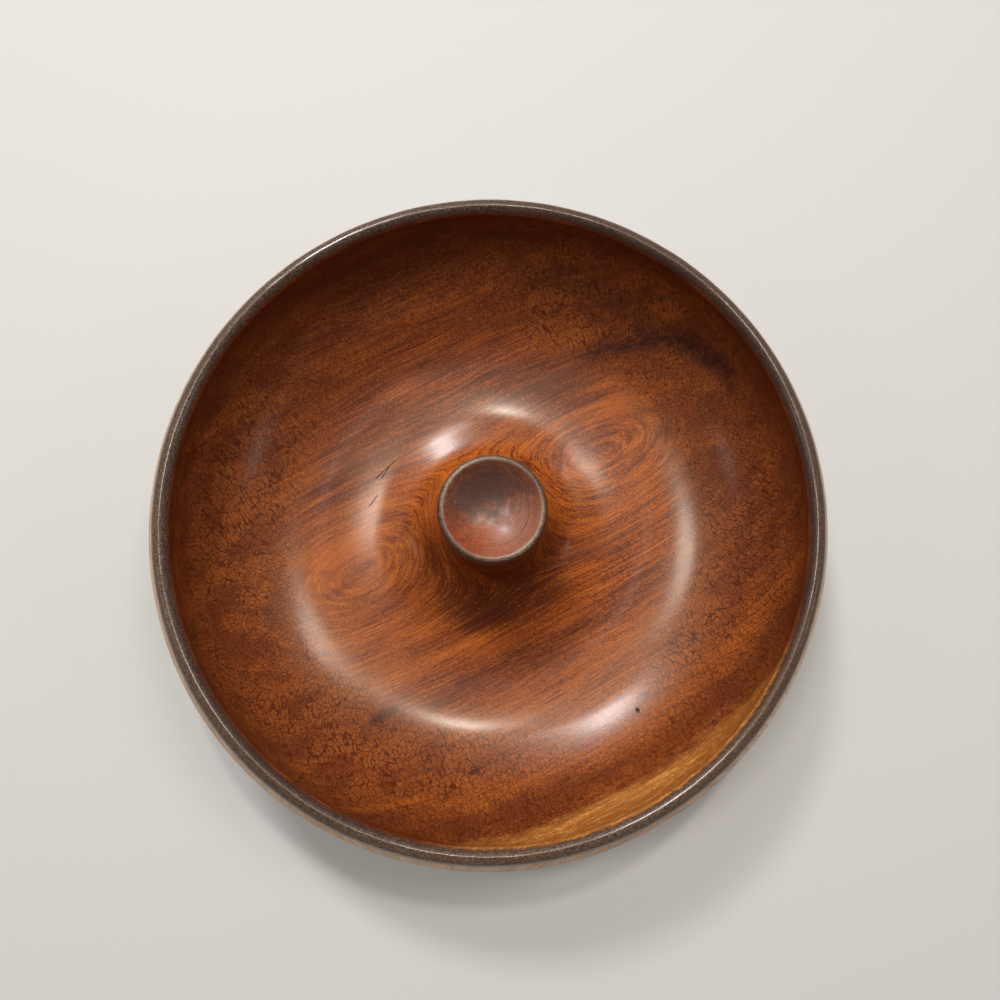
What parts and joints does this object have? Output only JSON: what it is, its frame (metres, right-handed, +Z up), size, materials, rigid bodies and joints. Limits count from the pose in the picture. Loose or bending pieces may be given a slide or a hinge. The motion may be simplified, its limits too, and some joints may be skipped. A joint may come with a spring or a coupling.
{
  "type": "nut bowl",
  "caption": "Turned hardwood nut bowl: a ring-shaped trough for nuts round a central pedestal, whose dished head holds a nut while it is cracked.",
  "frame": {"origin": "middle of the foot, on the surface the bowl stands on", "axes": "+Z up along the turning axis, +Y towards the top of the picture and +X to its right"},
  "size_m": [0.3, 0.3, 0.08],
  "materials": {
    "polished_hardwood": "glossy wiped varnish over red-brown hardwood, darkened round the rim",
    "darkened_hardwood": "worn varnish over dark red-brown hardwood, darkened round the lip by handling"
  },
  "bodies": {
    "root": {"bowl": "polished_hardwood", "anvil_head": "darkened_hardwood"}
  },
  "joints": []
}
